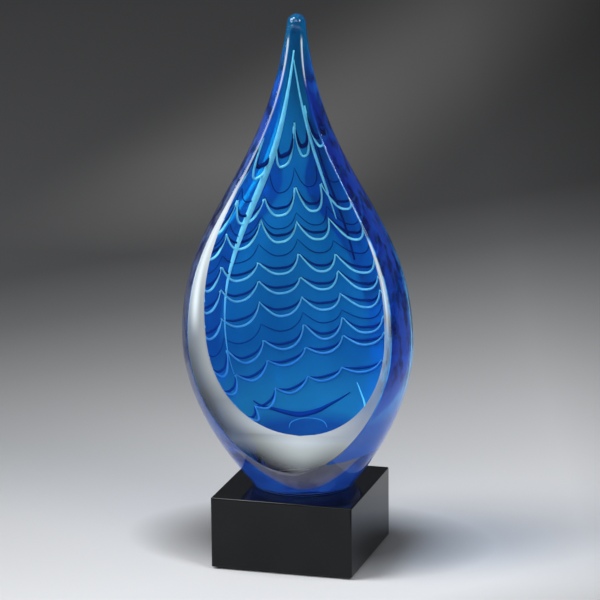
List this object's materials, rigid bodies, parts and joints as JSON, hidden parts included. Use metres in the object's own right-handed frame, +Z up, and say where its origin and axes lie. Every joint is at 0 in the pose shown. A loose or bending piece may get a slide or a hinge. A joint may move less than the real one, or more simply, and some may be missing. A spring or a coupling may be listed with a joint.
{
  "type": "art glass award",
  "caption": "Drop-shaped art glass award: a clear-cased azure core with combed threads, ground to a flat front facet, standing on a polished black block.",
  "frame": {"origin": "on the surface the award stands on, under the middle of the block", "axes": "+Z up along the axis of the glass drop, -Y towards the viewer of the flat facet, +X to that viewer's right"},
  "size_m": [0.1212, 0.1004, 0.29],
  "materials": {
    "clear_glass": "polished clear glass",
    "azure_glass": "transparent azure glass inside the casing",
    "white_glass": "opal white glass thread",
    "cobalt_glass": "dark blue glass thread",
    "black_glass": "polished opaque black glass",
    "adhesive": "thin clear cured adhesive",
    "felt": "dense black felt"
  },
  "bodies": {
    "root": {"felt_pad": "felt", "base_block": "black_glass", "foot_adhesive": "adhesive", "casing_glass": "clear_glass", "colour_layer": "azure_glass", "core_glass": "clear_glass", "white_thread_01": "white_glass", "white_thread_02": "white_glass", "white_thread_03": "white_glass", "white_thread_04": "white_glass", "white_thread_05": "white_glass", "white_thread_06": "white_glass", "white_thread_07": "white_glass", "white_thread_08": "white_glass", "white_thread_09": "white_glass", "cobalt_thread_01": "cobalt_glass", "cobalt_thread_02": "cobalt_glass", "cobalt_thread_03": "cobalt_glass", "cobalt_thread_04": "cobalt_glass", "cobalt_thread_05": "cobalt_glass", "cobalt_thread_06": "cobalt_glass", "cobalt_thread_07": "cobalt_glass", "cobalt_thread_08": "cobalt_glass"}
  },
  "joints": []
}
